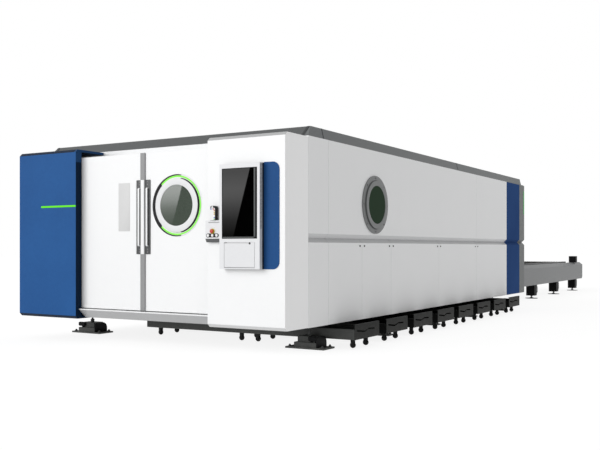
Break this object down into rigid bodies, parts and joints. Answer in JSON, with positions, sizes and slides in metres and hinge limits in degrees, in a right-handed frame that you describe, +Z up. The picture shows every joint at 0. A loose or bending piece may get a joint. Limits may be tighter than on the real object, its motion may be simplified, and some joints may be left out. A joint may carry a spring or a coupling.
{
  "type": "laser cutting machine",
  "caption": "Fully enclosed sheet laser cutter with sliding front doors, an operator console, slag carts under its side and a pallet exchange table at its rear.",
  "frame": {"origin": "on the floor, under the middle of the machine's overall box", "axes": "+Z up, +Y from the front doors towards the exchange table, +X to the right of the doors"},
  "size_m": [4.25, 16.589, 2.49],
  "materials": {
    "white_paint": "smooth white powder coat",
    "console_paint": "satin pale grey powder coat",
    "blue_paint": "satin blue powder coat",
    "grey_paint": "satin grey powder coat",
    "sill_paint": "satin light grey powder coat",
    "roof_paint": "satin dark grey powder coat",
    "bed_paint": "machine grey paint on a heavy weldment",
    "dark_paint": "dark grey paint",
    "cart_paint": "dark grey paint, scuffed",
    "black_paint": "black paint",
    "bright_steel": "ground steel",
    "slat_steel": "dark mill steel slats",
    "window_glass": "dark green laser safety glass",
    "green_light": "lit green diffuser",
    "screen_glass": "black glass screen",
    "black_plastic": "moulded black plastic",
    "button_plastic": "moulded white plastic",
    "red_plastic": "moulded red plastic"
  },
  "bodies": {
    "base": {"right_upper_panels": "white_paint", "right_lower_panels": "white_paint", "left_panels": "white_paint", "front_wall": "white_paint", "right_cabinet": "white_paint", "console_housing": "console_paint", "button_box": "console_paint", "side_stripes": "blue_paint", "left_cabinet": "blue_paint", "console_plate": "blue_paint", "rear_covers": "grey_paint", "rear_wall": "grey_paint", "table_frame": "grey_paint", "side_window_flange": "grey_paint", "wall_frame": "grey_paint", "door_sill": "sill_paint", "roof": "roof_paint", "bed_side_beams": "bed_paint", "bed_cross_members": "dark_paint", "machine_feet": "dark_paint", "table_legs": "black_paint", "drive_box": "black_paint", "panel_latches": "black_paint", "guide_rails": "bright_steel", "pallet_tracks": "bright_steel", "door_top_track": "bright_steel", "side_window_glass": "window_glass", "console_screen": "screen_glass", "handset": "button_plastic"},
    "left_leaf": {"left_door": "white_paint", "left_door_handle": "dark_paint", "door_cover_strip": "sill_paint", "door_centre_bar": "white_paint"},
    "right_leaf": {"right_door": "white_paint", "right_door_handle": "dark_paint", "door_window_frame": "dark_paint", "door_window_ring": "white_paint", "door_window_light": "green_light", "door_window_glass": "window_glass"},
    "flap": {"keyboard_flap": "console_paint", "keyboard": "black_plastic"},
    "lock": {"flap_lock": "black_paint"},
    "stop": {"estop_button": "red_plastic"},
    "push_left": {"button_left": "button_plastic"},
    "push_middle": {"button_middle": "button_plastic"},
    "push_right": {"button_right": "button_plastic"},
    "gantry": {"gantry_beam": "bed_paint", "gantry_trucks": "dark_paint"},
    "cross_slide": {"carriage": "dark_paint"},
    "head": {"cutting_head": "bright_steel"},
    "top_pallet": {"upper_pallet": "slat_steel"},
    "bottom_pallet": {"lower_pallet": "slat_steel"},
    "cart_1": {"slag_cart_1": "cart_paint"},
    "cart_2": {"slag_cart_2": "cart_paint"},
    "cart_3": {"slag_cart_3": "cart_paint"},
    "cart_4": {"slag_cart_4": "cart_paint"},
    "cart_5": {"slag_cart_5": "cart_paint"},
    "cart_6": {"slag_cart_6": "cart_paint"},
    "cart_7": {"slag_cart_7": "cart_paint"},
    "cart_8": {"slag_cart_8": "cart_paint"}
  },
  "joints": [
    {"name": "left_door_slide", "type": "slide", "parent": "base", "child": "left_leaf", "axis": [-1, 0, 0], "range_m": [0, 0.85]},
    {"name": "right_door_slide", "type": "slide", "parent": "base", "child": "right_leaf", "axis": [1, 0, 0], "range_m": [0, 0.85]},
    {"name": "flap_hinge", "type": "hinge", "parent": "base", "child": "flap", "pos_m": [1.357, -8.2845, 0.955], "axis": [1, 0, 0], "range_deg": [0, 90]},
    {"name": "lock_turn", "type": "hinge", "parent": "flap", "child": "lock", "pos_m": [1.4895, -8.2905, 1.201], "axis": [0, 1, 0], "range_deg": [0, 90]},
    {"name": "stop_push", "type": "slide", "parent": "base", "child": "stop", "axis": [0, 1, 0], "range_m": [0, 0.005], "stiffness_N_per_m": 600},
    {"name": "left_push", "type": "slide", "parent": "base", "child": "push_left", "axis": [0, 1, 0], "range_m": [0, 0.003], "stiffness_N_per_m": 600},
    {"name": "middle_push", "type": "slide", "parent": "base", "child": "push_middle", "axis": [0, 1, 0], "range_m": [0, 0.003], "stiffness_N_per_m": 600},
    {"name": "right_push", "type": "slide", "parent": "base", "child": "push_right", "axis": [0, 1, 0], "range_m": [0, 0.003], "stiffness_N_per_m": 600},
    {"name": "gantry_travel", "type": "slide", "parent": "base", "child": "gantry", "axis": [0, 1, 0], "range_m": [-6.3, 0]},
    {"name": "carriage_travel", "type": "slide", "parent": "gantry", "child": "cross_slide", "axis": [1, 0, 0], "range_m": [-1.2, 1.2]},
    {"name": "head_lift", "type": "slide", "parent": "cross_slide", "child": "head", "axis": [0, 0, 1], "range_m": [-0.1, 0]},
    {"name": "top_pallet_travel", "type": "slide", "parent": "base", "child": "top_pallet", "axis": [0, 1, 0], "range_m": [-7.85, 0]},
    {"name": "bottom_pallet_travel", "type": "slide", "parent": "base", "child": "bottom_pallet", "axis": [0, 1, 0], "range_m": [0, 7.85]},
    {"name": "cart_1_pull", "type": "slide", "parent": "base", "child": "cart_1", "axis": [1, 0, 0], "range_m": [0, 2.4]},
    {"name": "cart_2_pull", "type": "slide", "parent": "base", "child": "cart_2", "axis": [1, 0, 0], "range_m": [0, 2.4]},
    {"name": "cart_3_pull", "type": "slide", "parent": "base", "child": "cart_3", "axis": [1, 0, 0], "range_m": [0, 2.4]},
    {"name": "cart_4_pull", "type": "slide", "parent": "base", "child": "cart_4", "axis": [1, 0, 0], "range_m": [0, 2.4]},
    {"name": "cart_5_pull", "type": "slide", "parent": "base", "child": "cart_5", "axis": [1, 0, 0], "range_m": [0, 2.4]},
    {"name": "cart_6_pull", "type": "slide", "parent": "base", "child": "cart_6", "axis": [1, 0, 0], "range_m": [0, 2.4]},
    {"name": "cart_7_pull", "type": "slide", "parent": "base", "child": "cart_7", "axis": [1, 0, 0], "range_m": [0, 2.4]},
    {"name": "cart_8_pull", "type": "slide", "parent": "base", "child": "cart_8", "axis": [1, 0, 0], "range_m": [0, 2.4]}
  ],
  "couplings": [
    {"joint": "bottom_pallet_travel", "follows": "top_pallet_travel", "ratio": -1}
  ]
}
